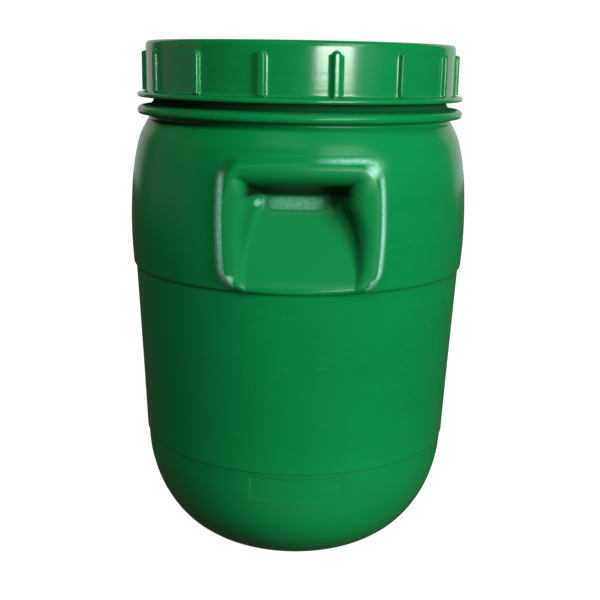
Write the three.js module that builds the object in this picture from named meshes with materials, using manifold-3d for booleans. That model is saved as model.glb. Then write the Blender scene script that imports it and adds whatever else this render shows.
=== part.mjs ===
// A wide-mouth plastic drum of about 50 litres with a screw lid, in millimetres, +Z up.
// The origin is the centre of the base, on the floor. One hand grip faces -Y and one faces +Y.
//
// Five separate pieces stack on one axis: the blow-moulded body, the gasket on its mouth, the inner lid that
// seals on the gasket, the foam liner that the inner lid is pressed through, and the screw lid over them all.

import * as THREE from "three";
import { mergeVertices } from "three/addons/utils/BufferGeometryUtils.js";
import Module from "manifold-3d";

const wasm = await Module();
wasm.setup();

// ---------------------------------------------------------------- driving dimensions

const FACETS = 64; // flat faces in one full turn of every round piece
const SEAT_GAP = 0.3; // between two pieces that rest on each other

// The body's outside, from the floor up.
const BODY_RADIUS = 190; // at the widest part of the shoulder
const RIM_HEIGHT = 548.7; // floor to the top edge of the mouth
const SHELL_WALL = 3.2;
const FOOT_INSET = 82; // outer edge of the foot, in from BODY_RADIUS
const FOOT_WIDTH = 8; // width of the flat ring that the drum stands on
const BASE_RAISE = 8; // how far the middle of the base stands clear of the floor
const CORNER_HEIGHT = 122; // where the rounded base corner ends and the plain wall starts
const CORNER_INSET = 14.7; // wall at the top of the corner, in from BODY_RADIUS
const FOOT_FILLET = 4.6; // width of the foot's small fillet
const FOOT_FILLET_HEIGHT = 1.5;
const CORNER_SLOPE = (31 * Math.PI) / 180; // slope of the corner where it reaches the foot
const BEAD_PROUD = 1.2; // the small ledge where the plain wall meets the corner
const WAIST_INSET = 4.4; // wall just under the step, in from BODY_RADIUS
const STEP_DROP = 229.7; // mouth down to the step under the shoulder
const STEP_WIDTH = 2.6;
const STEP_RISE = 4;
const SHOULDER_DROP = 68.2; // mouth down to the top of the shoulder

// The neck and the collar under the lid.
const NECK_INSET = 26.5; // neck's outside at the thread's root, in from BODY_RADIUS
const NECK_WALL = 4.5;
const COLLAR_REACH = 17.5; // collar's rim, out from the neck
const COLLAR_ROOT = 6.5; // top of the shoulder, out from the neck
const COLLAR_DROP = 60.5; // mouth down to the middle of the collar's rim
const COLLAR_HALF = 3.9; // half the height of the collar's rounded rim

// The screw thread, right-handed. The lid's ridge lies under the neck's ridge and bears up on it.
const PITCH = 12;
const THREAD_TURNS = 1.5;
const THREAD_LIFT = 9.5; // underside of the lid's flange up to the start of the neck's ridge
const RIDGE_HEIGHT = 3.1; // how far each ridge stands off its wall
const RIDGE_ROOT = 6.2;
const RIDGE_CREST = 2.4;
const THREAD_REACH = 4.3; // neck's wall to the lid's wall
const FLANK_GAP = 0.4;
const RIDGE_SINK = 1; // ridges start this far inside their wall, so that they join it

// The hand grips: a flat pad on the shoulder with a wedge-shaped finger pocket in it.
const PAD_WIDTH = 168;
const PAD_HEIGHT = 126;
const PAD_INSET = 8; // flat face of the pad, in from BODY_RADIUS
const PAD_CORNER = 26;
const PAD_FOOT_CORNER = 8;
const PAD_EDGE = 5;
const POCKET_WIDTH = 120; // at the top of the mouth of the pocket
const POCKET_FLARE = 7; // how much wider each side is at the sill
const POCKET_TOP = 106; // step up to the underside of the top bar
const POCKET_DEPTH = 39; // BODY_RADIUS in to the back wall
const POCKET_SILL = 3; // step up to the foot of the ramp
const POCKET_KNEE = 78; // step up to where the ramp turns into the back wall
const POCKET_FILLET = 12;
const POCKET_DRAFT = (20 * Math.PI) / 180; // slope of the side walls

// The plain panel under each grip.
const PANEL_WIDTH = 100;
const PANEL_HEIGHT = 26;
const PANEL_TOP = 4; // down from the top of the base corner
const PANEL_SINK = 1;

// The screw lid.
const LID_WALL = 3.2;
const LID_TOP = 3.5;
const LID_EDGE = 4.5; // rounding of the top edge
const FLANGE_GAP = 10.4; // top of the collar's rim up to the underside of the flange
const FLANGE_REACH = 10;
const FLANGE_THICK = 4.5;
const RECESS_DROP = 8; // depth of the round recess in the top
const RECESS_MARGIN = 20.5; // width of the raised ring round the recess
const RIB_COUNT = 15;
const RIB_WIDTH = 10;
const RIB_PROUD = 4.6;
const RIB_DROP = 10.5; // top of the lid down to the top of a rib
const RIB_LIFT = 2.5; // flange up to the foot of a rib
const RIB_TURN = -1.5; // degrees from the grip's middle to the middle between two ribs, with the lid tight
const WEB_COUNT = 8; // stiffening webs in the recess
const WEB_WIDTH = 3;
const WEB_HEIGHT = 3;
const HUB_RADIUS = 42;

// The seals and the inner lid.
const GASKET_THICK = 2.8;
const GASKET_WIDTH = 5;
const GASKET_MARGIN = 0.7; // gasket's outer edge, in from the neck's outside
const INNER_RIM_THICK = 3;
const INNER_RIM_MARGIN = 0.5; // inner lid's rim, in from the crest of the lid's thread
const INNER_WALL = 3;
const INNER_FIT = 1.2; // inner lid's plug, in from the bore of the neck
const INNER_DEPTH = 16; // rim down to the inner lid's panel
const LINER_THICK = 2.8;
const LINER_WIDTH = 15;
const LINER_FIT = 0.5; // liner's edge, in from the lid's wall
const TAB_COUNT = 2;
const TAB_WIDTH = 46;
const TAB_HEIGHT = 9;
const TAB_THICK = 4;
const TAB_RADIUS = 60; // lift tabs, out from the centre

// ---------------------------------------------------------------- sizes that follow

const NECK_RADIUS = BODY_RADIUS - NECK_INSET;
const BORE_RADIUS = NECK_RADIUS - NECK_WALL;
const LID_BORE = NECK_RADIUS + THREAD_REACH;
const LID_RADIUS = LID_BORE + LID_WALL;
const STEP_HEIGHT = RIM_HEIGHT - STEP_DROP;
const SHOULDER_HEIGHT = RIM_HEIGHT - SHOULDER_DROP;
const COLLAR_HEIGHT = RIM_HEIGHT - COLLAR_DROP;
const FLANGE_FOOT = COLLAR_HEIGHT + COLLAR_HALF + FLANGE_GAP; // underside of the lid's flange
const THREAD_START = FLANGE_FOOT + THREAD_LIFT;

const GASKET_SEAT = RIM_HEIGHT + SEAT_GAP;
const INNER_SEAT = GASKET_SEAT + GASKET_THICK + SEAT_GAP;
const LINER_SEAT = INNER_SEAT + INNER_RIM_THICK + SEAT_GAP;
const LID_SEAT = LINER_SEAT + LINER_THICK + SEAT_GAP; // underside of the screw lid's top
const LID_SKIRT = LID_SEAT - FLANGE_FOOT;

// ---------------------------------------------------------------- helpers

const point = (x, y) => new THREE.Vector2(x, y);

// A closed three.js geometry as a manifold-3d solid.
function solid(geometry) {
  const bare = geometry.clone();
  bare.deleteAttribute("normal");
  bare.deleteAttribute("uv");
  const merged = mergeVertices(bare, 1e-3);
  return new wasm.Manifold(
    new wasm.Mesh({
      numProp: 3,
      vertProperties: new Float32Array(merged.attributes.position.array),
      triVerts: new Uint32Array(merged.index.array),
    }),
  );
}

// A profile of (radius, height) points turned about the Z axis. It runs anticlockwise round its material.
function turned(profile) {
  return solid(new THREE.LatheGeometry(profile, FACETS).rotateX(Math.PI / 2));
}

// A rectangular ring as a profile, closed on itself.
function ringProfile(inner, outer, bottom, top) {
  return [
    point(inner, bottom),
    point(outer, bottom),
    point(outer, top),
    point(inner, top),
    point(inner, bottom),
  ];
}

// A path's points, moved sideways by distance, to the left of its direction.
function offset(points, distance) {
  return points.map((p, i) => {
    const before = points[Math.max(i - 1, 0)];
    const after = points[Math.min(i + 1, points.length - 1)];
    const along = after.clone().sub(before).normalize();
    return point(p.x - along.y * distance, p.y + along.x * distance);
  });
}

// The same solid at count places round the Z axis, the first one turned by start radians.
function around(make, count, start = 0) {
  const places = Array.from({ length: count }, (_, i) => start + (i * 2 * Math.PI) / count);
  return places.map((angle) => make().rotate([0, 0, (angle * 180) / Math.PI]));
}

// A flat shape drawn in X and Z, as a slab from y = -far to y = -near, with its front edges rounded by edge.
function slab(shape, near, far, edge = 0) {
  const geometry = new THREE.ExtrudeGeometry(shape, {
    depth: far - near - edge,
    bevelEnabled: edge > 0,
    bevelThickness: edge,
    bevelSize: edge,
    bevelOffset: -edge,
    bevelSegments: 2,
    curveSegments: 4,
  });
  return solid(geometry.rotateX(Math.PI / 2).translate(0, -near, 0));
}

function roundedRectangle(halfWidth, bottom, top, topRadius, bottomRadius) {
  const shape = new THREE.Shape();
  shape.moveTo(-halfWidth + bottomRadius, bottom);
  shape.lineTo(halfWidth - bottomRadius, bottom);
  shape.quadraticCurveTo(halfWidth, bottom, halfWidth, bottom + bottomRadius);
  shape.lineTo(halfWidth, top - topRadius);
  shape.quadraticCurveTo(halfWidth, top, halfWidth - topRadius, top);
  shape.lineTo(-halfWidth + topRadius, top);
  shape.quadraticCurveTo(-halfWidth, top, -halfWidth, top - topRadius);
  shape.lineTo(-halfWidth, bottom + bottomRadius);
  shape.quadraticCurveTo(-halfWidth, bottom, -halfWidth + bottomRadius, bottom);
  return shape;
}

// A thread ridge on a wall. It is extruded straight, with its section in X and Y, and then wound round the
// axis: side is 1 for a ridge that stands outwards and -1 for one that stands inwards. Both ends fade out.
function ridge(wallRadius, side, startHeight) {
  const section = new THREE.Shape([
    point(-RIDGE_SINK, -RIDGE_ROOT / 2),
    point(0, -RIDGE_ROOT / 2),
    point(RIDGE_HEIGHT, -RIDGE_CREST / 2),
    point(RIDGE_HEIGHT, RIDGE_CREST / 2),
    point(0, RIDGE_ROOT / 2),
    point(-RIDGE_SINK, RIDGE_ROOT / 2),
  ]);
  const steps = Math.round(THREAD_TURNS * FACETS);
  const fadeSteps = 4;
  const geometry = new THREE.ExtrudeGeometry(section, { depth: steps, steps, bevelEnabled: false });
  const places = geometry.attributes.position;
  for (let i = 0; i < places.count; i++) {
    const step = side > 0 ? steps - places.getZ(i) : places.getZ(i); // keeps the faces turned out
    const fade = Math.min(1, 0.1 + Math.min(step, steps - step) / fadeSteps);
    const out = places.getX(i);
    const radius = wallRadius + side * (out > 0 ? out * fade : out);
    const angle = (step / FACETS) * 2 * Math.PI;
    const height = startHeight + places.getY(i) + (step / FACETS) * PITCH;
    places.setXYZ(i, radius * Math.sin(angle), -radius * Math.cos(angle), height);
  }
  return solid(geometry);
}

// ---------------------------------------------------------------- the drum body

// The outside of the wall from the middle of the base up to the top of the shoulder.
function wallOutline(divisions) {
  const footOuter = BODY_RADIUS - FOOT_INSET;
  const footInner = footOuter - FOOT_WIDTH;
  const cornerTop = BODY_RADIUS - CORNER_INSET;
  const cornerFoot = footOuter + FOOT_FILLET;
  const waist = BODY_RADIUS - WAIST_INSET;
  const footPull = 45;
  const path = new THREE.Path();
  path.moveTo(0, BASE_RAISE);
  path.lineTo(footInner - 14, BASE_RAISE);
  path.lineTo(footInner - 2, 1);
  path.lineTo(footInner, 0);
  path.lineTo(footOuter, 0);
  path.lineTo(cornerFoot, FOOT_FILLET_HEIGHT);
  path.bezierCurveTo(
    cornerFoot + footPull * Math.cos(CORNER_SLOPE),
    FOOT_FILLET_HEIGHT + footPull * Math.sin(CORNER_SLOPE),
    cornerTop,
    CORNER_HEIGHT - 50,
    cornerTop,
    CORNER_HEIGHT,
  );
  path.lineTo(cornerTop + BEAD_PROUD, CORNER_HEIGHT + 1.5);
  path.lineTo(cornerTop + BEAD_PROUD, CORNER_HEIGHT + 5);
  path.lineTo(waist, STEP_HEIGHT - STEP_RISE / 2);
  path.lineTo(waist + STEP_WIDTH, STEP_HEIGHT + STEP_RISE / 2);
  path.bezierCurveTo(
    BODY_RADIUS + 1.5,
    STEP_HEIGHT + 53,
    BODY_RADIUS + 0.5,
    SHOULDER_HEIGHT - 40,
    NECK_RADIUS + COLLAR_ROOT,
    SHOULDER_HEIGHT,
  );
  return path.getPoints(divisions);
}

// The collar: a rounded rim with a small groove over it, on a root that slopes up to the neck.
function collarOutline() {
  const rim = NECK_RADIUS + COLLAR_REACH;
  return [
    point(rim - 2, COLLAR_HEIGHT - COLLAR_HALF),
    point(rim - 0.5, COLLAR_HEIGHT - COLLAR_HALF / 2),
    point(rim, COLLAR_HEIGHT),
    point(rim - 0.7, COLLAR_HEIGHT + COLLAR_HALF * 0.7),
    point(rim - 2.6, COLLAR_HEIGHT + COLLAR_HALF),
    point(rim - 4.6, COLLAR_HEIGHT + COLLAR_HALF + 0.7),
    point(NECK_RADIUS + 5, COLLAR_HEIGHT + COLLAR_HALF + 4.7),
    point(NECK_RADIUS, COLLAR_HEIGHT + COLLAR_HALF + 7.2),
  ];
}

// The flat pad round a grip, as a solid that reaches well into the shoulder. It is made smaller by inset.
function gripPad(inset) {
  const shape = roundedRectangle(
    PAD_WIDTH / 2 - inset,
    STEP_HEIGHT + STEP_RISE / 2 + inset,
    STEP_HEIGHT + PAD_HEIGHT - inset,
    PAD_CORNER,
    PAD_FOOT_CORNER,
  );
  const face = BODY_RADIUS - PAD_INSET - inset;
  return slab(shape, BODY_RADIUS - POCKET_DEPTH, face, PAD_EDGE);
}

// The space of a finger pocket, made larger by grow. Its outline is drawn in depth and height: a ceiling, a
// rounded corner, a back wall, and a ramp that runs out to the sill. Both sides narrow towards the back.
function gripPocket(grow) {
  const back = BODY_RADIUS - POCKET_DEPTH;
  const mouth = BODY_RADIUS + 20;
  const ceiling = STEP_HEIGHT + POCKET_TOP;
  const knee = STEP_HEIGHT + POCKET_KNEE;
  const sill = STEP_HEIGHT + POCKET_SILL;
  const path = new THREE.Path();
  const rampReach = (mouth - BODY_RADIUS) / (BODY_RADIUS - 2 - back);
  path.moveTo(mouth, ceiling + 4);
  path.lineTo(back + POCKET_FILLET, ceiling);
  path.quadraticCurveTo(back, ceiling, back, ceiling - POCKET_FILLET);
  path.quadraticCurveTo(back, knee, back + 5, knee - 12);
  path.lineTo(BODY_RADIUS - 2, sill);
  path.lineTo(mouth, sill - rampReach * (knee - 12 - sill));
  const outline = offset(path.getPoints(4), -grow);
  const geometry = new THREE.ExtrudeGeometry(new THREE.Shape(outline), {
    depth: 2,
    bevelEnabled: false,
  });
  const places = geometry.attributes.position;
  const spread = Math.tan(POCKET_DRAFT);
  for (let i = 0; i < places.count; i++) {
    const depth = places.getX(i);
    const height = places.getY(i);
    const flare = (POCKET_FLARE * (ceiling - height)) / (ceiling - sill);
    const halfWidth = POCKET_WIDTH / 2 + flare + (depth - BODY_RADIUS) * spread + grow;
    places.setXYZ(i, (1 - places.getZ(i)) * halfWidth, -depth, height);
  }
  return solid(geometry);
}

function drumBody() {
  const wall = wallOutline(6);
  const inside = offset(wallOutline(4), SHELL_WALL);
  const sunk = offset(wall, PANEL_SINK);
  inside[0].x = 0;
  sunk[0].x = 0;
  const neckFoot = COLLAR_HEIGHT + COLLAR_HALF;
  const above = RIM_HEIGHT + 20;

  const outside = turned([
    ...wall,
    ...collarOutline(),
    point(NECK_RADIUS, RIM_HEIGHT - 1.5),
    point(NECK_RADIUS - 1.5, RIM_HEIGHT),
    point(0, RIM_HEIGHT),
  ]);
  const cavity = turned([
    ...inside,
    point(BORE_RADIUS, neckFoot),
    point(BORE_RADIUS, above),
    point(0, above),
  ]);

  const label = slab(
    roundedRectangle(
      PANEL_WIDTH / 2,
      CORNER_HEIGHT - PANEL_TOP - PANEL_HEIGHT,
      CORNER_HEIGHT - PANEL_TOP,
      2,
      2,
    ),
    BODY_RADIUS * 0.5,
    BODY_RADIUS + 5,
  ).subtract(turned([...sunk, point(0, SHOULDER_HEIGHT)]));

  let shell = outside;
  let hollow = cavity;
  for (const pad of around(() => gripPad(0), 2)) shell = shell.add(pad);
  for (const pad of around(() => gripPad(SHELL_WALL), 2)) hollow = hollow.add(pad);
  for (const pocket of around(() => gripPocket(0), 2)) shell = shell.subtract(pocket);
  for (const pocket of around(() => gripPocket(SHELL_WALL), 2)) hollow = hollow.subtract(pocket);
  for (const panel of around(() => label, 2)) shell = shell.subtract(panel);
  return shell.add(ridge(NECK_RADIUS, 1, THREAD_START)).subtract(hollow);
}

// ---------------------------------------------------------------- the screw lid, from the underside of its top

function screwLid() {
  const recess = LID_RADIUS - RECESS_MARGIN;
  const flangeTop = -LID_SKIRT + FLANGE_THICK;
  const path = new THREE.Path();
  path.moveTo(0, LID_TOP - RECESS_DROP);
  path.lineTo(recess - 3, LID_TOP - RECESS_DROP);
  path.lineTo(recess - 1.5, LID_TOP - 1.2);
  path.lineTo(recess, LID_TOP);
  path.lineTo(LID_RADIUS - LID_EDGE, LID_TOP);
  path.absarc(LID_RADIUS - LID_EDGE, LID_TOP - LID_EDGE, LID_EDGE, Math.PI / 2, 0, true);
  path.lineTo(LID_RADIUS, flangeTop + 1);
  path.lineTo(LID_RADIUS + FLANGE_REACH - 1, flangeTop - 0.6);
  path.lineTo(LID_RADIUS + FLANGE_REACH, flangeTop - 1.8);
  path.lineTo(LID_RADIUS + FLANGE_REACH, -LID_SKIRT + 0.8);
  path.lineTo(LID_RADIUS + FLANGE_REACH - 0.8, -LID_SKIRT);
  path.lineTo(LID_BORE, -LID_SKIRT);
  path.lineTo(LID_BORE, 0);
  path.lineTo(recess + 1, 0);
  path.lineTo(recess - 1, -RECESS_DROP);
  path.lineTo(0, -RECESS_DROP);
  let lid = turned(path.getPoints(4).reverse());

  const ribFoot = flangeTop + RIB_LIFT;
  const rib = roundedRectangle(RIB_WIDTH / 2, ribFoot, LID_TOP - RIB_DROP, 3.5, 2.5);
  for (const piece of around(
    () => slab(rib, LID_RADIUS - LID_WALL / 2, LID_RADIUS + RIB_PROUD, 1.5),
    RIB_COUNT,
    Math.PI / RIB_COUNT + (RIB_TURN * Math.PI) / 180,
  ))
    lid = lid.add(piece);

  // Webs run from the hub's ring out into the wall of the recess.
  const floor = LID_TOP - RECESS_DROP - 1;
  const web = roundedRectangle(WEB_WIDTH / 2, floor, floor + 1 + WEB_HEIGHT, 0.5, 0.2);
  for (const piece of around(() => slab(web, HUB_RADIUS, recess - 1.5), WEB_COUNT, Math.PI / WEB_COUNT))
    lid = lid.add(piece);
  lid = lid.add(turned(ringProfile(HUB_RADIUS - WEB_WIDTH, HUB_RADIUS + 1, floor, floor + 1 + WEB_HEIGHT)));

  const overlap = RIDGE_HEIGHT + RIDGE_HEIGHT - THREAD_REACH;
  const slope = (RIDGE_ROOT - RIDGE_CREST) / 2 / RIDGE_HEIGHT;
  const spacing = RIDGE_CREST + overlap * slope + FLANK_GAP; // neck ridge down to the lid ridge under it
  return lid.add(ridge(LID_BORE, -1, THREAD_START - spacing - LID_SEAT));
}

// ---------------------------------------------------------------- the inner lid, from the underside of its rim

function innerLid() {
  const rim = LID_BORE - RIDGE_HEIGHT - INNER_RIM_MARGIN;
  const plug = BORE_RADIUS - INNER_FIT;
  const panel = -INNER_DEPTH;
  let lid = turned([
    point(0, panel),
    point(plug - 2, panel),
    point(plug, panel + 2),
    point(plug, 0),
    point(rim, 0),
    point(rim, INNER_RIM_THICK),
    point(plug - INNER_WALL, INNER_RIM_THICK),
    point(plug - INNER_WALL, panel + INNER_WALL + 1),
    point(plug - INNER_WALL - 1, panel + INNER_WALL),
    point(0, panel + INNER_WALL),
  ]);
  const tabFoot = panel + INNER_WALL;
  const tab = roundedRectangle(TAB_WIDTH / 2, tabFoot - 1, tabFoot + TAB_HEIGHT, 4, 0.2);
  for (const piece of around(() => slab(tab, TAB_RADIUS, TAB_RADIUS + TAB_THICK), TAB_COUNT))
    lid = lid.add(piece);
  return lid;
}

// ---------------------------------------------------------------- the seals

function mouthGasket() {
  const outer = NECK_RADIUS - GASKET_MARGIN;
  return turned(ringProfile(outer - GASKET_WIDTH, outer, 0, GASKET_THICK));
}

function lidLiner() {
  const outer = LID_BORE - LINER_FIT;
  return turned(ringProfile(outer - LINER_WIDTH, outer, 0, LINER_THICK));
}

// ---------------------------------------------------------------- the assembly

const green = new THREE.MeshStandardMaterial({ color: 0x0d7f42, roughness: 0.38, metalness: 0 });
const rubber = new THREE.MeshStandardMaterial({ color: 0x1c1c1c, roughness: 0.8, metalness: 0 });
const natural = new THREE.MeshStandardMaterial({ color: 0xdfe3dc, roughness: 0.45, metalness: 0 });
const foam = new THREE.MeshStandardMaterial({ color: 0xf1f1ec, roughness: 0.95, metalness: 0 });

function piece(name, shape, material, height = 0) {
  const { vertProperties, triVerts } = shape.getMesh();
  const geometry = new THREE.BufferGeometry();
  geometry.setAttribute("position", new THREE.BufferAttribute(vertProperties, 3));
  geometry.setIndex(new THREE.BufferAttribute(triVerts, 1));
  geometry.computeVertexNormals();
  const mesh = new THREE.Mesh(geometry, material.clone());
  mesh.name = name;
  mesh.position.z = height;
  return mesh;
}

const closure = new THREE.Group();
closure.add(
  piece("mouth_gasket", mouthGasket(), rubber, GASKET_SEAT),
  piece("inner_lid", innerLid(), natural, INNER_SEAT),
  piece("lid_liner", lidLiner(), foam, LINER_SEAT),
  piece("screw_lid", screwLid(), green, LID_SEAT),
);

const drum = new THREE.Group();
drum.add(piece("drum_body", drumBody(), green), closure);

export default drum;
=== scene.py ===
import math

import bmesh
import bpy
import numpy as np
from mathutils import Matrix, Vector


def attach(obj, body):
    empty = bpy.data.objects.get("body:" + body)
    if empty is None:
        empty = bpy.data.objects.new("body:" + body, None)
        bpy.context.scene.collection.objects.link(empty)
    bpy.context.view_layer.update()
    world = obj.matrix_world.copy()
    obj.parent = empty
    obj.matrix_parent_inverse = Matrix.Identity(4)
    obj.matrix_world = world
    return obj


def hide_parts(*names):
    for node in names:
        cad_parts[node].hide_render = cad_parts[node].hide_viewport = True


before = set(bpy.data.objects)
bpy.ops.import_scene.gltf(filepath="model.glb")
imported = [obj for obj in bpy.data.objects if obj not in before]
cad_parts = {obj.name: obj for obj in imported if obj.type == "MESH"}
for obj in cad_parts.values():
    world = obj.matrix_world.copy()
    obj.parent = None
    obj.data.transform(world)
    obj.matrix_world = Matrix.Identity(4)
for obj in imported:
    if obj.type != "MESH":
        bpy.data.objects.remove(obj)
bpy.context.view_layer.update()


# ---------------------------------------------------------------- camera

# The drum is seen from its front grip, at the height of the lid, so that its front and its lid's side both show.
# Sizes are written in millimetres and turned into metres by MM.
MM = 0.001
camera_data = bpy.data.cameras.new("camera")
camera_data.lens = 58.27
camera_data.sensor_width = 36
camera_data.clip_end = 60
camera = bpy.data.objects.new("camera", camera_data)
bpy.context.scene.collection.objects.link(camera)
bpy.context.scene.camera = camera

eye = Vector((-19.4, -1117.0, 539.6)) * MM
heading = math.radians(-1.2)
pitch = math.radians(-13.65)
roll = math.radians(1.02)
turned = Matrix.Rotation(heading, 4, "Z") @ Matrix.Rotation(math.pi / 2 + pitch, 4, "X")
camera.matrix_world = Matrix.Translation(eye) @ turned @ Matrix.Rotation(roll, 4, "Z")


# ---------------------------------------------------------------- studio

# A white paper bowl stands round the drum, so that no horizon shows from any side. Only the camera sees it: the
# drum is lit by the lamps alone, which keeps the plastic's colour deep.
bowl = bmesh.new()
flat_radius = 4.0
bend_radius = 1.4
wall_height = 5
centre = bowl.verts.new((0, 0, 0))
flat_edge = bowl.verts.new((flat_radius, 0, 0))
bowl.edges.new((centre, flat_edge))
bend = bmesh.ops.spin(
    bowl, geom=[flat_edge], cent=(flat_radius, 0, bend_radius), axis=(0, -1, 0), angle=math.pi / 2, steps=16
)
tip = [v for v in bend["geom_last"] if isinstance(v, bmesh.types.BMVert)]
wall_top = bmesh.ops.extrude_vert_indiv(bowl, verts=tip)
bmesh.ops.translate(bowl, verts=wall_top["verts"], vec=(0, 0, wall_height))
bmesh.ops.spin(
    bowl,
    geom=bowl.verts[:] + bowl.edges[:],
    cent=(0, 0, 0),
    axis=(0, 0, 1),
    angle=2 * math.pi,
    steps=64,
    use_merge=True,
)
bmesh.ops.remove_doubles(bowl, verts=bowl.verts, dist=1e-5)
bmesh.ops.recalc_face_normals(bowl, faces=bowl.faces)
paper_data = bpy.data.meshes.new("paper")
bowl.to_mesh(paper_data)
bowl.free()
paper_data.shade_smooth()
paper = bpy.data.objects.new("paper", paper_data)
bpy.context.scene.collection.objects.link(paper)
paper.visible_diffuse = False
paper.visible_glossy = False
paper.visible_shadow = False

paper_white = bpy.data.materials.new("paper_white")
paper_white.use_nodes = True
paper_shader = paper_white.node_tree.nodes["Principled BSDF"]
paper_shader.inputs["Base Color"].default_value = (0.3, 0.3, 0.3, 1)
paper_shader.inputs["Roughness"].default_value = 1
paper_shader.inputs["Specular IOR Level"].default_value = 0
paper_shader.inputs["Emission Color"].default_value = (1, 1, 1, 1)
paper_shader.inputs["Emission Strength"].default_value = 1
paper_data.materials.append(paper_white)


# A lamp box at a bearing and a height. Bearing 0 is in front of the drum and 90 is at its right. shine is how bright
# the box looks, so its power follows from its size. Lengths here are in metres.
def lamp_box(name, bearing, distance, height, wide, tall, shine, aim_height=0.33):
    lamp = bpy.data.lights.new(name, "AREA")
    lamp.shape = "RECTANGLE"
    lamp.size = wide
    lamp.size_y = tall
    lamp.energy = shine * math.pi * wide * tall
    box = bpy.data.objects.new(name, lamp)
    angle = math.radians(bearing)
    place = Vector((distance * math.sin(angle), -distance * math.cos(angle), height))
    aim = Vector((0, 0, aim_height)) - place
    box.matrix_world = Matrix.Translation(place) @ aim.to_track_quat("-Z", "Y").to_matrix().to_4x4()
    box.visible_camera = False
    bpy.context.scene.collection.objects.link(box)
    return box


# Two soft boxes in front and a low one under the foot light the plastic. The windows and the left box only shine in
# its gloss, and the two at the back do both.
key_box = lamp_box("key_box", 45, 2.0, 0.82, 0.8, 0.6, 31.5, 0.4)
front_box = lamp_box("front_box", -16, 1.9, 2.2, 1.2, 0.8, 13)
low_box = lamp_box("low_box", 12, 0.25, 0.004, 0.42, 0.12, 1.2, 50)
for box in (key_box, front_box, low_box):
    box.visible_glossy = False
window_box = lamp_box("window_box", 22, 1.7, 0.6, 0.75, 0.2, 24, 0.58)
upper_window_box = lamp_box("upper_window_box", 30, 1.7, 1.2, 0.85, 0.95, 3.6, 0.45)
left_box = lamp_box("left_box", -96, 2.4, 0.95, 2.0, 1.6, 0.2, 0.5)
lamp_box("back_left_box", -155, 2.4, 1.15, 2.0, 2.0, 0.6, 0.5)
lamp_box("back_right_box", 150, 2.4, 1.15, 2.2, 2.0, 0.7, 0.5)
for box in (window_box, upper_window_box, left_box):
    box.visible_diffuse = False

studio = bpy.data.worlds.new("studio")
studio.use_nodes = True
backdrop = studio.node_tree.nodes["Background"]
backdrop.inputs["Color"].default_value = (1, 1, 0.75, 1)
backdrop.inputs["Strength"].default_value = 0.05
bpy.context.scene.world = studio
bpy.context.scene.view_settings.view_transform = "Standard"


# ---------------------------------------------------------------- drum body

# The body is one hollow shell of green polyethylene, blown inside a two-part mould. The mould gives it the collar
# under the mouth, a step under the shoulder, two hand grips with finger pockets, and a blank panel under each.


# A run of (radius, height) points joined by straight lines. Radii and heights are in millimetres.
def straight(*stops):
    return [Vector(stop) for stop in stops]


# A run of points through the given (radius, height) stops, as a moulded wall flows through them.
def flowing(stops, share=6):
    points = [Vector(s) for s in stops]
    run = []
    for i in range(len(points) - 1):
        before = points[max(i - 1, 0)]
        after = points[min(i + 2, len(points) - 1)]
        here, there = points[i], points[i + 1]
        reach = (there - here).length
        lead = (there - before).normalized() * reach / 3
        trail = (after - here).normalized() * reach / 3
        for k in range(share):
            t = k / share
            u = 1 - t
            leaving = here * u**3 + (here + lead) * 3 * u * u * t
            run.append(leaving + (there - trail) * 3 * u * t * t + there * t**3)
    return run + [points[-1]]


# The same run with a point at every few millimetres of height, so that a pressed shape can be put in it.
def even_rows(run, low, high, gap):
    heights = np.array([p.y for p in run])
    radii = np.array([p.x for p in run])
    count = max(1, round((high - low) / gap))
    return [Vector((float(np.interp(z, heights, radii)), z)) for z in np.linspace(low, high, count + 1)]


foot_run = straight(
    (0, 8), (30, 8), (60, 7.9), (80, 7.4), (88, 6.2), (94, 3.6), (98, 1.2), (101, 0.2), (104, 0), (107, 0.1)
)
corner_run = flowing(
    [
        (107, 0.1), (110, 0.6), (112.8, 1.7), (122.6, 7.6), (137.2, 20), (151.3, 38), (163.7, 62), (172.3, 92),
        (175.2, 119),
    ]
)
bead_run = straight(
    (175.2, 119), (175.35, 121.4), (175.75, 122.6), (176.35, 123.2), (176.6, 124.2), (176.5, 125.4)
)
wall_run = flowing([(176.5, 125.4), (177.6, 150), (180.0, 203), (182.9, 262), (185.5, 315)], 8)
step_run = straight(
    (185.5, 315), (185.6, 316.2), (185.75, 317.1), (186.2, 317.8), (186.9, 318.5), (187.6, 319.2),
    (188.1, 319.9), (188.4, 320.8), (188.55, 322),
)
shoulder_run = flowing(
    [(188.55, 322), (190, 352), (189.6, 385), (186.3, 426), (179.4, 459), (171.6, 475.6), (169.2, 479.6)], 8
)
collar_run = straight(
    (169.2, 479.6), (168.8, 480.8), (168.9, 482.4), (169.6, 483.5), (171, 484), (175, 484.1), (178.2, 484.3),
    (179.5, 484.8), (180.4, 485.8), (180.9, 487.1), (181, 488.6), (180.8, 490), (180.2, 491.3), (179.3, 492.3),
    (178.2, 493), (176.6, 493.5), (174, 493.9), (170, 494.4), (167.2, 495), (165.3, 496), (164.1, 497.6),
    (163.6, 499.4), (163.5, 501.2),
)
neck_run = straight(
    (163.5, 501.2), (163.5, 520), (163.5, 544), (163.4, 546.8), (162.9, 548), (162, 548.7), (160.6, 548.7),
    (159.6, 548.2), (159.1, 547),
)
inner_neck = straight(
    (159.1, 547), (159, 520), (159, 500), (159.3, 490), (161, 485), (164.4, 480), (168.2, 473)
)
inner_shoulder = straight(
    (168.2, 473), (176.2, 456), (180.5, 440), (183.1, 426), (184.8, 412), (185.8, 400), (186.4, 385),
    (186.8, 368), (186.8, 352), (186.3, 340), (185.4, 328), (184.6, 321), (182.6, 315),
)
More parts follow.
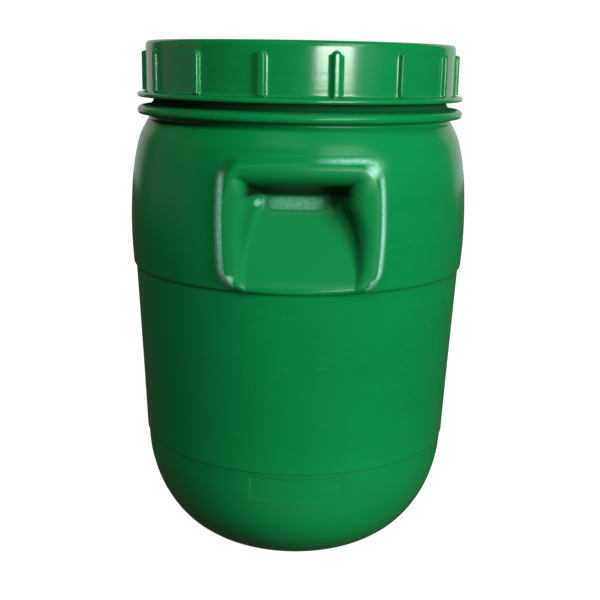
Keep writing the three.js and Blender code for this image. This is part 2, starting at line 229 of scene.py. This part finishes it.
inner_foot = straight(
    (182.6, 315), (181.9, 303), (180.4, 280), (178.5, 250), (176.8, 203), (174.4, 150), (173, 122),
    (171.6, 104), (169.1, 91), (160.9, 63.4), (148.8, 40), (134.6, 22.2), (120.4, 10.2), (110, 4.4),
    (104, 3.3), (97, 5.2), (90, 9.4), (80, 11), (50, 11.2), (0, 11.2),
)


# Runs made one. Where two meet, the point that they share is kept once.
def joined(*runs):
    whole = list(runs[0])
    for run in runs[1:]:
        meets = (run[0] - whole[-1]).length < 1e-4
        whole += run[1:] if meets else run
    return whole


# The rows are close together where a panel or a grip is pressed in. The inner wall has close rows there too, or its
# long faces would cut through the pocket.
panel_rows = joined([p for p in corner_run if p.y < 85.5], even_rows(corner_run, 86, 119, 1.1))
plain_rows = joined([p for p in wall_run if p.y < 298], even_rows(wall_run, 300, 315, 1.5))
grip_rows = joined(
    even_rows(shoulder_run, 322, 334, 1.2),
    even_rows(shoulder_run, 334, 396, 2.2),
    even_rows(shoulder_run, 396, 456, 1.05),
    [p for p in shoulder_run if p.y > 457.5],
)
outer_profile = joined(foot_run, panel_rows, bead_run, plain_rows, step_run, grip_rows, collar_run, neck_run)
rising = inner_shoulder[::-1]
inner_rows = joined(
    even_rows(rising, 315, 396, 4.5), even_rows(rising, 396, 450, 2), even_rows(rising, 450, 473, 6)
)
body_profile = joined(outer_profile, inner_neck, inner_rows[::-1], inner_foot)


# A profile turned about the drum's axis, in arcs of (degrees, steps), so that detail gets more columns.
def turned_shell(profile, arcs):
    shell = bmesh.new()
    verts = [shell.verts.new((0, -p.x * MM, p.y * MM)) for p in profile]
    edges = [shell.edges.new(pair) for pair in zip(verts, verts[1:])]
    last = verts + edges
    for degrees, steps in arcs:
        swept = bmesh.ops.spin(
            shell, geom=last, cent=(0, 0, 0), axis=(0, 0, 1), angle=math.radians(degrees), steps=steps
        )
        last = swept["geom_last"]
    bmesh.ops.remove_doubles(shell, verts=shell.verts, dist=0.01 * MM)
    bmesh.ops.dissolve_degenerate(shell, edges=shell.edges, dist=1e-7)
    bmesh.ops.recalc_face_normals(shell, faces=shell.faces)
    return shell


# A shell becomes a piece of the drum: a smooth mesh with its material, which moves with a body of the frame.
def finished(name, shell, body, nodes, material):
    data = bpy.data.meshes.new(name)
    shell.to_mesh(data)
    shell.free()
    data.shade_smooth()
    piece = bpy.data.objects.new(name, data)
    bpy.context.scene.collection.objects.link(piece)
    data.materials.append(material)
    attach(piece, body)
    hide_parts(*nodes)


# A quarter of the body starts at the middle of a grip, has its closest columns at the pocket's side, and ends at the
# mould's seam.
quarter = [(10, 5), (19, 44), (60, 16), (1, 3)]
body_arcs = quarter + quarter[::-1] + quarter + quarter[::-1]
body_shell = turned_shell(body_profile, body_arcs)


# A smooth step from 0 to 1.
def ease(t):
    t = np.clip(t, 0, 1)
    return t * t * (3 - 2 * t)


# The larger and the smaller of two values, with the change from one to the other rounded off.
def blunt_max(a, b, round_by):
    h = np.clip(0.5 + 0.5 * (a - b) / round_by, 0, 1)
    return b + (a - b) * h + round_by * h * (1 - h)


def blunt_min(a, b, round_by):
    return -blunt_max(-a, -b, round_by)


# How far a place is outside a rectangle with rounded corners, negative inside.
def outside_of(x, z, half_width, low, high, corner):
    dx = np.abs(x) - half_width + corner
    dz = np.abs(z - (low + high) / 2) - (high - low) / 2 + corner
    return np.hypot(np.maximum(dx, 0), np.maximum(dz, 0)) + np.minimum(np.maximum(dx, dz), 0) - corner


# How much narrower a grip is at a height than where it is widest.
def narrowing(z):
    return 4.5 * ((z - 385) / 66) ** 2 + 2 * ease((345 - z) / 25)


# How far a place is outside the raised pad round a grip. x is along the wall and z is the height.
pad_low, pad_high, pad_half, pad_corner = 319, 452, 83.5, 20


def outside_pad(x, z):
    return outside_of(x, z, pad_half - narrowing(z), pad_low, pad_high, pad_corner)


# How far the wall stands out from the axis at a grip, how much of the place is a side wall of the pocket, and how far
# it is inside the crest of the bars. wall is the plain wall's own distance, and thick is 0 on the outer face and the
# wall's thickness on the inner one.
crest_high, crest_half, crest_corner = 444, 75.5, 18
roll_radius, roll_reach, bar_slope = 28, 26.3, 2.7
ramp_foot, ramp_low, ramp_rise = 188.6, 322, 38.6 / 74
back_radius, back_low, back_slope = 150.5, 396, 0.08


def pressed_grip(x, z, wall, thick):
    bow = 8 * (x / 81) ** 2
    pad_face = 189.6 - bow - 1.5 * ease((z - 425) / 25)
    past_pad = outside_pad(x, z)
    on_pad = ease((3 - past_pad) / (9 + 5 * ease((z - 405) / 35)))
    face = wall + (blunt_max(pad_face - thick, wall, 2) - wall) * on_pad

    # The bars round the pocket roll in from their crest and then run steeply down to the floor.
    aside = x + 3 * ease((z - 380) / 30)
    stretched = crest_high + (z - crest_high) * 1.25
    inward = -outside_of(aside, stretched, crest_half - narrowing(z), 0, crest_high, crest_corner)
    inward = inward * (1 + 0.8 * np.clip((402 - z) / 75, 0, 1))
    rolled = np.clip(inward, 0, roll_reach)
    drop = roll_radius - np.sqrt(roll_radius**2 - rolled**2) + np.maximum(inward - roll_reach, 0) * bar_slope

    # The floor is a ramp that runs in and up to an almost upright back wall.
    ramp = ramp_foot - bow * ease((360 - z) / 30) - (z - ramp_low) * ramp_rise
    back_wall = back_radius - (z - back_low) * back_slope
    floor = blunt_max(ramp, back_wall, 9)
    pocket = blunt_max(floor, pad_face - drop, 24) - thick
    side_share = ease((pad_face - drop - floor + 4) / 8) * ease((drop - 5) / 13)
    return np.where(past_pad < 8, blunt_min(face, pocket, 4), wall), side_share, inward


# The grips and the panels are pressed into both faces of the shell, at its front and its back. Each vertex also gets
# a value of painted sheen and dullness and a value of painted shade, which the plastic's material reads.
wall_thickness = 3.2
panel_low, panel_high, panel_half, panel_depth = 91.5, 117.6, 49, 0.8
painted_sheen_and_dullness = body_shell.verts.layers.float.new("painted_sheen_and_dullness")
shade_painted = body_shell.verts.layers.float.new("shade_painted")
places = [v for v in body_shell.verts if abs(v.co.x) < 0.1 and 0.08 < v.co.z < 0.47 and abs(v.co.y) > 0.12]
x = np.array([v.co.x for v in places]) / MM
y = np.array([v.co.y for v in places]) / MM
z = np.array([v.co.z for v in places]) / MM
plain = np.abs(y)
outer_z = np.array([p.y for p in outer_profile if 80 < p.y < 478])
outer_r = np.array([p.x for p in outer_profile if 80 < p.y < 478])
inside = np.hypot(x, y) < np.interp(z, outer_z, outer_r) - 1.2
grip, side_share, inward = pressed_grip(x, z, plain, np.where(inside, wall_thickness, 0))
blank = outside_of(x, z, panel_half, panel_low, panel_high, 2.5)
panel = np.where(inside, 0, panel_depth) * ease(0.5 - blank / 2.2)
grip_zone = (z > 296) & (z < 470)
new = np.where(grip_zone, grip, plain - panel)
for v, side, out in zip(places, np.sign(y), new):
    v.co.y = float(side * out * MM)

# Painted highlight: pale colour along the pad's proud edges, stronger on the left and weaker on the top bar, stands
# in for the light those edges catch. The ramp and the inner sides of the bars are sheltered, so they stay dull, which
# a value under 0 stands for.
turned_x = x * -np.sign(y)
past_pad = outside_pad(turned_x, z)
on_sides = ease((np.abs(turned_x) - 62) / 10) * ease((z - 318) / 8) * ease((440 - z) / 12)
on_top = ease((turned_x - 5) / 40) * ease((z - 438) / 4)
left_more = np.where(turned_x < 0, 1, 0.62)
sheen_line = np.exp(-(((past_pad + 2.4) / (1.6 + 1.2 * left_more)) ** 2))
sheen_dull_values = left_more * sheen_line * np.maximum(on_sides, 0.8 * on_top)
bar_side = ease((np.abs(turned_x) - 31) / 6) * ease((430 - z) / 15)
sheen_dull_values -= ease((-4 - past_pad) / 10) * np.maximum(0.25, np.maximum(ease((402 - z) / 10), bar_side))
# Painted highlight: a pale band across the top of the pocket's back wall.
back_wall_sheen = np.exp(-(((z - 404) / 8) ** 2)) * ease((38 - np.abs(turned_x + 4)) / 20)
sheen_dull_values = sheen_dull_values * (1 - back_wall_sheen) ** 2 + 0.27 * back_wall_sheen
# Painted glints: pale spots at the pad's corners and at the pocket's upper left corner.
painted_glints = [(70, 441, 7, 0.6), (-69, 333, 5, 0.5), (72, 330, 4, 0.35), (-43, 405, 6, 0.4)]
for glint_x, glint_z, spread, much in painted_glints:
    near = np.exp(-((np.hypot(turned_x - glint_x, z - glint_z) / spread) ** 2))
    sheen_dull_values = sheen_dull_values * (1 - near) ** 2 + much * near

# Painted shade darkens the colour under the top bar and on the pocket's right side, where shadow falls. The neck,
# under the lid, is both dull and darkened by painted shade.
shade_amount = np.maximum(
    np.where(turned_x > 0, 0.6, 0.1) * side_share, 0.96 * ease((z - 410.5) / 4) * ease((inward - 17) / 10)
)
on_grip = grip_zone & ~inside
for v, much, shade_here in zip(places, sheen_dull_values * on_grip, shade_amount * on_grip):
    v[painted_sheen_and_dullness] = float(much)
    v[shade_painted] = float(shade_here)
neck_low = 493.5 * MM
for v in body_shell.verts:
    if v.co.z > neck_low:
        v[painted_sheen_and_dullness] = -1
        # Painted shade on the neck, which the lid shades.
        v[shade_painted] = 0.6 * min(1, (v.co.z - neck_low) / (2 * MM))

# The mould's two halves meet at the left and right, where they leave a faint line on the shoulder and on the bottom
# corner. The parison was pinched shut under the base, which leaves a low ridge there.
seam_half = 1.3
for v in body_shell.verts:
    flat = math.hypot(v.co.x, v.co.y) / MM
    height = v.co.z / MM
    from_seam = abs(math.atan2(v.co.y, abs(v.co.x))) * flat
    outer_face = flat > 100 and flat > float(np.interp(height, outer_z, outer_r)) - 1.2
    if from_seam < seam_half and outer_face and flat < 175 and 4 < height < 479:
        v.co.x *= 1 + 0.0018 * (1 - from_seam / seam_half)
    if flat < 90 and height < 8.5 and abs(v.co.y) < 0.4 * MM:
        v.co.z -= 0.6 * MM


# A thread is a blunt ridge wound one and a half times round a wall, 12 mm up in each turn. stand is how far it stands
# away from the axis, negative where it points to the axis. Its ends fade into the wall.
thread_pitch, thread_turns, thread_steps = 12, 1.5, 180


def wound_ridge(shell, wall, stand, start):
    rise = thread_pitch * thread_turns
    section = [(-0.25, -3.1), (0, -3.1), (0.5, -2.1), (0.85, -1.4), (1, -0.8)]
    section += [(out, -up) for out, up in section[::-1]]
    ridge = bmesh.new()
    ring = [ridge.verts.new((0, -(wall + out * stand) * MM, (start + up) * MM)) for out, up in section]
    bmesh.ops.spin(
        ridge,
        geom=[ridge.faces.new(ring)],
        cent=(0, 0, 0),
        axis=(0, 0, 1),
        dvec=(0, 0, rise / thread_steps * MM),
        angle=thread_turns * 2 * math.pi,
        steps=thread_steps,
    )
    for v in ridge.verts:
        flat = math.hypot(v.co.x, v.co.y) / MM
        along = (v.co.z / MM - start) / rise
        fade = min(1, 0.1 + max(0, min(along, 1 - along)) / 0.06)
        out = flat - wall
        if out * stand > 0:
            v.co.xy *= (wall + out * fade) / flat
    bmesh.ops.remove_doubles(ridge, verts=ridge.verts, dist=1e-6)
    bmesh.ops.recalc_face_normals(ridge, faces=ridge.faces)
    ridge_data = bpy.data.meshes.new("ridge")
    ridge.to_mesh(ridge_data)
    ridge.free()
    shell.from_mesh(ridge_data)


wound_ridge(body_shell, 163.5, 3.1, 512)


# Green polyethylene, blown or moulded. It is satin, slightly uneven in tone and gloss, and carries fine rubs. streaks
# stretches its uneven tone, rubs is how pale the rubs are, and ringed is how much the tone also shapes the face.
def green_plastic(name, streaks, rubs, shine, smoothest, ringed):
    material = bpy.data.materials.new(name)
    material.use_nodes = True
    nodes = material.node_tree.nodes
    links = material.node_tree.links
    shader = nodes["Principled BSDF"]

    spot = nodes.new("ShaderNodeTexCoord")
    cloud = nodes.new("ShaderNodeTexNoise")
    cloud.inputs["Scale"].default_value = 7
    cloud.inputs["Detail"].default_value = 4
    links.new(spot.outputs["Object"], cloud.inputs["Vector"])

    flow_map = nodes.new("ShaderNodeMapping")
    flow_map.inputs["Scale"].default_value = streaks
    links.new(spot.outputs["Object"], flow_map.inputs["Vector"])
    flow = nodes.new("ShaderNodeTexNoise")
    flow.inputs["Scale"].default_value = 1
    flow.inputs["Detail"].default_value = 5
    flow.inputs["Roughness"].default_value = 0.62
    links.new(flow_map.outputs["Vector"], flow.inputs["Vector"])

    tone = nodes.new("ShaderNodeMix")
    tone.data_type = "FLOAT"
    tone.inputs["Factor"].default_value = 0.4
    links.new(cloud.outputs["Fac"], tone.inputs["A"])
    links.new(flow.outputs["Fac"], tone.inputs["B"])
    dye = nodes.new("ShaderNodeValToRGB")
    dye.color_ramp.elements[0].position = 0.2
    dye.color_ramp.elements[0].color = (0.0011, 0.152, 0.036, 1)
    dye.color_ramp.elements[1].position = 0.8
    dye.color_ramp.elements[1].color = (0.002, 0.193, 0.05, 1)
    links.new(tone.outputs["Result"], dye.inputs["Fac"])

    rub_map = nodes.new("ShaderNodeMapping")
    rub_map.inputs["Rotation"].default_value = (0.5, 0.35, 0.2)
    rub_map.inputs["Scale"].default_value = (60, 60, 460)
    links.new(spot.outputs["Object"], rub_map.inputs["Vector"])
    rub = nodes.new("ShaderNodeTexNoise")
    rub.inputs["Scale"].default_value = 1
    rub.inputs["Detail"].default_value = 3
    links.new(rub_map.outputs["Vector"], rub.inputs["Vector"])
    rub_share = nodes.new("ShaderNodeValToRGB")
    rub_share.color_ramp.elements[0].position = 0.62
    rub_share.color_ramp.elements[0].color = (0, 0, 0, 1)
    rub_share.color_ramp.elements[1].position = 0.78
    rub_share.color_ramp.elements[1].color = (rubs, rubs, rubs, 1)
    links.new(rub.outputs["Fac"], rub_share.inputs["Fac"])
    # Pale mint mixed into the colour: the rubs, plus the painted highlights and glints from the vertex attribute.
    rub_and_sheen_mix = nodes.new("ShaderNodeMix")
    rub_and_sheen_mix.data_type = "RGBA"
    rub_and_sheen_mix.inputs["B"].default_value = (0.45, 0.95, 0.78, 1)
    edge = nodes.new("ShaderNodeAttribute")
    edge.attribute_name = "painted_sheen_and_dullness"
    patchy = nodes.new("ShaderNodeTexNoise")
    patchy.inputs["Scale"].default_value = 240
    patchy.inputs["Detail"].default_value = 4
    links.new(spot.outputs["Object"], patchy.inputs["Vector"])
    patches = nodes.new("ShaderNodeMapRange")
    patches.inputs["From Min"].default_value = 0.3
    patches.inputs["From Max"].default_value = 0.6
    patches.inputs["To Min"].default_value = 0.55
    links.new(patchy.outputs["Fac"], patches.inputs["Value"])
    painted_sheen_share = nodes.new("ShaderNodeMath")
    painted_sheen_share.operation = "MULTIPLY"
    links.new(edge.outputs["Fac"], painted_sheen_share.inputs[0])
    links.new(patches.outputs["Result"], painted_sheen_share.inputs[1])
    rub_and_sheen_share = nodes.new("ShaderNodeMath")
    rub_and_sheen_share.operation = "ADD"
    rub_and_sheen_share.use_clamp = True
    links.new(painted_sheen_share.outputs["Value"], rub_and_sheen_share.inputs[0])
    links.new(rub_share.outputs["Color"], rub_and_sheen_share.inputs[1])
    links.new(rub_and_sheen_share.outputs["Value"], rub_and_sheen_mix.inputs["Factor"])
    links.new(dye.outputs["Color"], rub_and_sheen_mix.inputs["A"])
    # Painted shade: a near-black green mixed into the colour where the vertex attribute asks for it.
    shade_amount = nodes.new("ShaderNodeAttribute")
    shade_amount.attribute_name = "shade_painted"
    shaded_colour = nodes.new("ShaderNodeMix")
    shaded_colour.data_type = "RGBA"
    shaded_colour.inputs["B"].default_value = (0.0008, 0.012, 0.003, 1)
    links.new(shade_amount.outputs["Fac"], shaded_colour.inputs["Factor"])
    links.new(rub_and_sheen_mix.outputs["Result"], shaded_colour.inputs["A"])
    links.new(shaded_colour.outputs["Result"], shader.inputs["Base Color"])

    gloss = nodes.new("ShaderNodeMapRange")
    gloss.inputs["From Min"].default_value = 0.3
    gloss.inputs["From Max"].default_value = 0.7
    gloss.inputs["To Min"].default_value = smoothest
    gloss.inputs["To Max"].default_value = smoothest + 0.06
    links.new(tone.outputs["Result"], gloss.inputs["Value"])
    dulled = nodes.new("ShaderNodeMath")
    dulled.operation = "ADD"
    links.new(gloss.outputs["Result"], dulled.inputs[0])
    shelter = nodes.new("ShaderNodeMapRange")
    shelter.inputs["From Min"].default_value = -1
    shelter.inputs["From Max"].default_value = 0
    shelter.inputs["To Min"].default_value = 0.7
    shelter.inputs["To Max"].default_value = 0
    links.new(edge.outputs["Fac"], shelter.inputs["Value"])
    links.new(shelter.outputs["Result"], dulled.inputs[1])
    links.new(dulled.outputs["Value"], shader.inputs["Roughness"])

    grain = nodes.new("ShaderNodeTexNoise")
    grain.inputs["Scale"].default_value = 420
    grain.inputs["Detail"].default_value = 2
    links.new(spot.outputs["Object"], grain.inputs["Vector"])
    swell = nodes.new("ShaderNodeTexNoise")
    swell.inputs["Scale"].default_value = 16
    swell.inputs["Detail"].default_value = 1
    links.new(spot.outputs["Object"], swell.inputs["Vector"])
    fine = nodes.new("ShaderNodeBump")
    fine.inputs["Strength"].default_value = 0.12
    fine.inputs["Distance"].default_value = 0.0002
    links.new(grain.outputs["Fac"], fine.inputs["Height"])
    broad = nodes.new("ShaderNodeBump")
    broad.inputs["Strength"].default_value = 0.25
    broad.inputs["Distance"].default_value = 0.0012
    links.new(swell.outputs["Fac"], broad.inputs["Height"])
    links.new(fine.outputs["Normal"], broad.inputs["Normal"])
    rings = nodes.new("ShaderNodeBump")
    rings.inputs["Strength"].default_value = ringed
    rings.inputs["Distance"].default_value = 0.0003
    links.new(flow.outputs["Fac"], rings.inputs["Height"])
    links.new(broad.outputs["Normal"], rings.inputs["Normal"])
    links.new(rings.outputs["Normal"], shader.inputs["Normal"])
    shader.inputs["IOR"].default_value = 1.52
    shader.inputs["Specular IOR Level"].default_value = shine
    return material


body_green = green_plastic("body_green", (7, 7, 26), 0.02, 0.24, 0.19, 0.05)
finished("drum_shell", body_shell, "drum", ["drum_body"], body_green)


# ---------------------------------------------------------------- screw lid

# The lid is a thick injection-moulded cap. Fifteen upright ribs give the hands a hold, a flange runs round its foot,
# and its top is a recessed disc with a raised ring round it, stiffened by low webs.
lid_wall = 171
top_run = straight(
    (0, 554), (10, 554), (36, 554), (38.4, 554.1), (38.9, 554.5), (39.2, 556.4), (39.9, 557), (42.1, 557),
    (42.8, 556.4), (43.1, 554.5), (43.6, 554.1), (46, 554), (90, 554), (130, 554), (144, 554),
)
rim_run = straight(
    (147, 554.2), (148.2, 555), (149.2, 558), (149.9, 560.6), (150.9, 561.7), (152.4, 562), (158, 562),
    (165.4, 562), (167.6, 561.8), (169.4, 561), (170.5, 559.6), (170.95, 558), (lid_wall, 556),
)
rib_heights = (
    554.5, 553.4, 552.6, 551.9, 551.2, 550.5, 549.7, 548.8, 547.6, 546, 543, 538, 532, 526, 520, 515, 512, 510.6
)
rib_run = straight(*((lid_wall, height) for height in rib_heights))
flange_run = straight(
    (171.2, 509.6), (171.8, 508.8), (173.2, 508.4), (176.6, 508), (179.2, 507.6), (180.3, 507), (180.9, 506),
    (181, 504.8), (180.8, 503.7), (180.1, 502.9), (179, 502.6), (174, 502.6), (169.2, 502.6), (168.3, 502.8),
)
inside_run = straight(
    (167.85, 503.6), (167.8, 505), (167.8, 530), (167.8, 556.5), (167.4, 557.8), (166.4, 558.5), (158, 558.5),
    (152.4, 558.5), (151, 557.6), (149.8, 551.6), (148.8, 550.6), (147, 550.5), (100, 550.5), (50, 550.5),
    (0, 550.5),
)

# Each rib has close columns across it, with a few between it and the next.
ribs = 15
rib_step = 360 / ribs
rib_turn = -1.5
rib_arcs = [(10.4, 8), (3.2, 26), (10.4, 8)] * ribs
lid_shell = turned_shell(joined(top_run, rim_run, rib_run, flange_run, inside_run), rib_arcs)
turn = Matrix.Rotation(math.radians(rib_turn), 3, "Z")
bmesh.ops.rotate(lid_shell, verts=lid_shell.verts, cent=(0, 0, 0), matrix=turn)

# A rib is drawn out of the wall, with a round top end and a slightly crowned face.
rib_half, rib_top, rib_stand = 4.2, 551.6, 4.7
for v in lid_shell.verts:
    flat = math.hypot(v.co.x, v.co.y) / MM
    height = v.co.z / MM
    if abs(flat - lid_wall) > 0.4 or not 509.5 < height < 554.6:
        continue
    angle = math.degrees(math.atan2(v.co.x, -v.co.y)) - rib_turn
    across = abs(math.radians(angle % rib_step - rib_step / 2) * lid_wall)
    above = max(0, height - rib_top + rib_half)
    past = math.hypot(across, above) - rib_half
    stand = rib_stand * float(ease((0.6 - past) / 2)) * (1 - 0.16 * (across / rib_half) ** 2)
    v.co.xy *= (flat + stand) / flat

wound_ridge(lid_shell, 167.8, -3.1, 508.04)


# A box with rounded edges, put in a shell with its middle at a place and its sides along the place's own axes.
def rounded_box(shell, place, sides, round_by):
    span = Matrix.Diagonal((*(side * MM for side in sides), 1))
    made = bmesh.ops.create_cube(shell, size=1, matrix=place @ span)
    edges = list({edge for v in made["verts"] for edge in v.link_edges})
    bmesh.ops.bevel(
        shell,
        geom=edges,
        offset=round_by * MM,
        segments=3,
        profile=0.5,
        affect="EDGES",
        material=-1,
        clamp_overlap=True,
    )


# The webs run from the ring at the middle to the rim.
webs = 8
web_step = 360 / webs
for k in range(webs):
    turn = Matrix.Rotation(math.radians((k + 0.5) * web_step), 4, "Z")
    rounded_box(lid_shell, turn @ Matrix.Translation(Vector((0, -95.4, 554.7)) * MM), (3, 106.4, 4.6), 0.8)

lid_green = green_plastic("lid_green", (5, 5, 150), 0.015, 0.5, 0.14, 0.25)
finished("screw_cap", lid_shell, "lid", ["screw_lid"], lid_green)


# ---------------------------------------------------------------- mouth gasket

# The gasket is a flat ring of black rubber on the mouth's top edge, with rounded corners and a matt, dusty face.


# Corners of (radius, height, rounding) joined into a run. A closed run comes back to its start.
def rounded(corners, closed=False):
    points = [Vector(corner[:2]) for corner in corners]
    run = []
    for i, here in enumerate(points):
        if not closed and i in (0, len(points) - 1):
            run.append(here)
            continue
        back = points[i - 1] - here
        on = points[(i + 1) % len(points)] - here
        cut = corners[i][2] / math.tan(back.angle(on) / 2)
        start, end = here + back.normalized() * cut, here + on.normalized() * cut
        run.append(start + back.normalized() * cut * 0.5)
        run += [start.lerp(here, k / 5).lerp(here.lerp(end, k / 5), k / 5) for k in range(6)]
        run.append(end + on.normalized() * cut * 0.5)
    return run


# A closed run turned once round the axis.
def turned_ring(run, columns):
    ring = bmesh.new()
    verts = [ring.verts.new((0, -p.x * MM, p.y * MM)) for p in run]
    edges = [ring.edges.new((verts[i - 1], verts[i])) for i in range(len(verts))]
    bmesh.ops.spin(
        ring, geom=verts + edges, cent=(0, 0, 0), axis=(0, 0, 1), angle=2 * math.pi, steps=columns, use_merge=True
    )
    bmesh.ops.recalc_face_normals(ring, faces=ring.faces)
    return ring


# A plain material whose tone and roughness drift between two values, with a fine bump of its own size.
def drifting(name, dark, light, rough, bump_scale, bump_depth):
    material = bpy.data.materials.new(name)
    material.use_nodes = True
    nodes = material.node_tree.nodes
    links = material.node_tree.links
    shader = nodes["Principled BSDF"]
    spot = nodes.new("ShaderNodeTexCoord")
    cloud = nodes.new("ShaderNodeTexNoise")
    cloud.inputs["Scale"].default_value = 24
    cloud.inputs["Detail"].default_value = 5
    links.new(spot.outputs["Object"], cloud.inputs["Vector"])
    tone = nodes.new("ShaderNodeValToRGB")
    tone.color_ramp.elements[0].position = 0.35
    tone.color_ramp.elements[0].color = dark
    tone.color_ramp.elements[1].position = 0.65
    tone.color_ramp.elements[1].color = light
    links.new(cloud.outputs["Fac"], tone.inputs["Fac"])
    links.new(tone.outputs["Color"], shader.inputs["Base Color"])
    gloss = nodes.new("ShaderNodeMapRange")
    gloss.inputs["To Min"].default_value = rough[0]
    gloss.inputs["To Max"].default_value = rough[1]
    links.new(cloud.outputs["Fac"], gloss.inputs["Value"])
    links.new(gloss.outputs["Result"], shader.inputs["Roughness"])
    grain = nodes.new("ShaderNodeTexNoise")
    grain.inputs["Scale"].default_value = bump_scale
    grain.inputs["Detail"].default_value = 3
    links.new(spot.outputs["Object"], grain.inputs["Vector"])
    bump = nodes.new("ShaderNodeBump")
    bump.inputs["Strength"].default_value = 0.4
    bump.inputs["Distance"].default_value = bump_depth
    links.new(grain.outputs["Fac"], bump.inputs["Height"])
    links.new(bump.outputs["Normal"], shader.inputs["Normal"])
    return material


# The section of a flat ring, with all four corners rounded.
def flat_section(inner, outer, low, high, round_by):
    corners = [(inner, low), (outer, low), (outer, high), (inner, high)]
    return rounded([(*corner, round_by) for corner in corners], closed=True)


ring_columns = 180
gasket_ring = turned_ring(flat_section(157.8, 162.8, 549, 551.8, 0.6), ring_columns)
black, dusty = (0.009, 0.009, 0.009, 1), (0.02, 0.019, 0.018, 1)
gasket_rubber = drifting("gasket_rubber", black, dusty, (0.55, 0.8), 900, 0.0001)
finished("gasket_ring", gasket_ring, "inner_closure", ["mouth_gasket"], gasket_rubber)


# ---------------------------------------------------------------- inner lid

# The inner lid is a dished disc of uncoloured polyethylene. Its rim rests on the gasket, its wall fits in the mouth,
# two rings stiffen its floor, and two upright tabs give the fingers a hold.
dish_run = rounded(
    [
        (0, 536.1, 0), (157.8, 536.1, 2), (157.8, 552.1, 0.6), (164.2, 552.1, 0.5), (164.2, 555.1, 0.8),
        (154.8, 555.1, 0.8), (154.8, 539.1, 2.4), (128, 539.1, 0.8), (127, 540, 0.4), (123, 540, 0.4),
        (122, 539.1, 0.8), (28, 539.1, 0.8), (27, 540, 0.4), (23, 540, 0.4), (22, 539.1, 0.8), (0, 539.1, 0),
    ]
)
dish_shell = turned_shell(dish_run, [(360, ring_columns)])
for side in (-62, 62):
    rounded_box(dish_shell, Matrix.Translation(Vector((0, side, 543.1)) * MM), (46, 4, 10), 1.4)
milky, pale_milky = (0.6, 0.62, 0.55, 1), (0.7, 0.72, 0.66, 1)
natural_plastic = drifting("natural_plastic", milky, pale_milky, (0.3, 0.5), 300, 0.0002)
finished("inner_dish", dish_shell, "inner_closure", ["inner_lid"], natural_plastic)


# ---------------------------------------------------------------- lid liner

# The liner is a flat ring of white closed-cell foam that the screw lid presses on the inner lid's rim.
foam_ring = turned_ring(flat_section(152.3, 167.3, 555.4, 558.2, 0.8), ring_columns)
off_white, white = (0.72, 0.72, 0.69, 1), (0.8, 0.8, 0.78, 1)
white_foam = drifting("white_foam", off_white, white, (0.85, 1), 1500, 0.0003)
finished("foam_ring", foam_ring, "liner", ["lid_liner"], white_foam)
